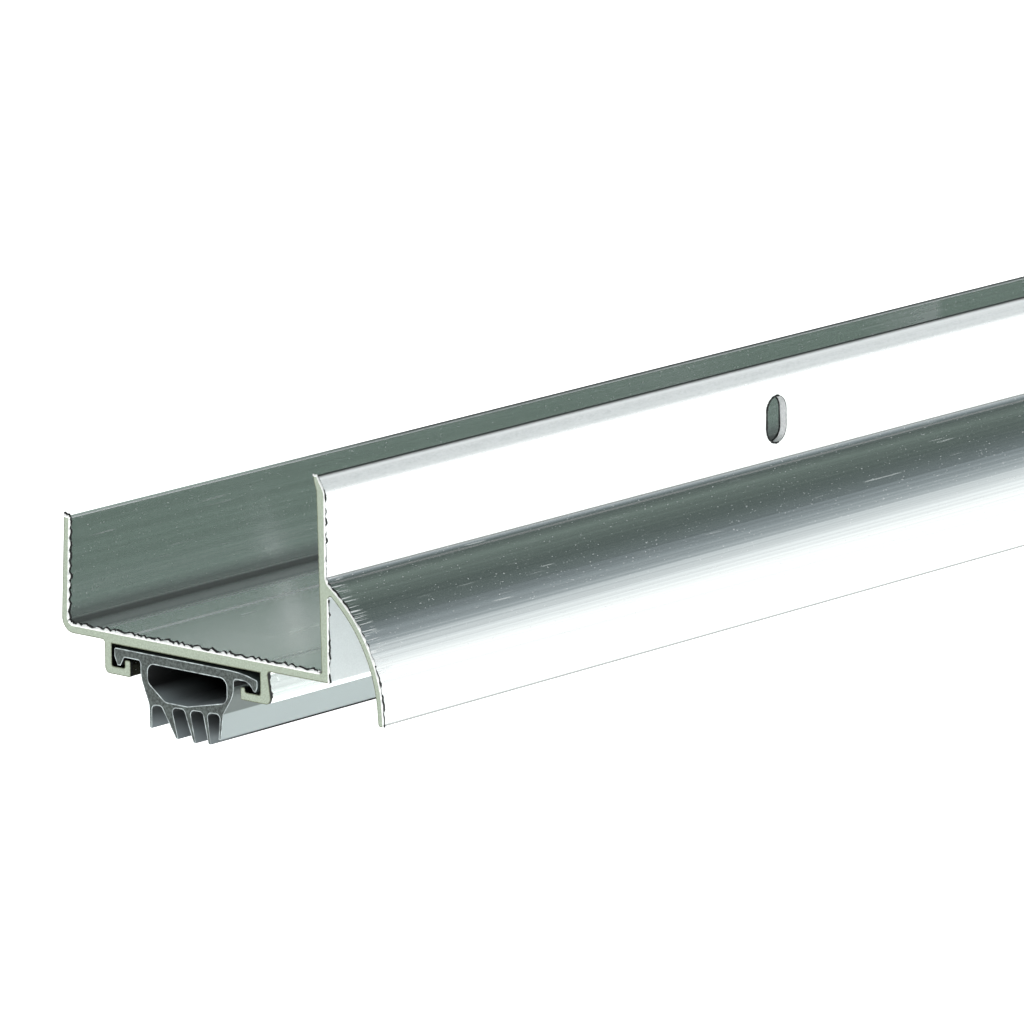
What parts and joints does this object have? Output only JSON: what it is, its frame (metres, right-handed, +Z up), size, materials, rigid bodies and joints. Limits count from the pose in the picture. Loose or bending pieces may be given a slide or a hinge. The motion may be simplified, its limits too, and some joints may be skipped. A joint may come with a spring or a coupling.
{
  "type": "u-shaped door bottom",
  "caption": "U-shaped aluminium door bottom with a curved drip cap, upright screw slots and a vinyl seal insert that slides into a slot under its base.",
  "frame": {"origin": "on the seat where the door's foot rests, at mid-length and midway between the two legs", "axes": "+X along the door, -Y towards the weather side with the drip cap, +Y towards the room side, +Z up into the door"},
  "size_m": [0.9144, 0.0587, 0.0404],
  "materials": {
    "channel": "mill finish, drawn lengthwise",
    "seal": "smooth extruded vinyl"
  },
  "bodies": {
    "channel": {"channel": "channel"},
    "seal": {"seal_insert": "seal"}
  },
  "joints": [
    {"name": "seal_slide", "type": "slide", "parent": "channel", "child": "seal", "axis": [-1, 0, 0], "range_m": [0, 0.889]}
  ]
}
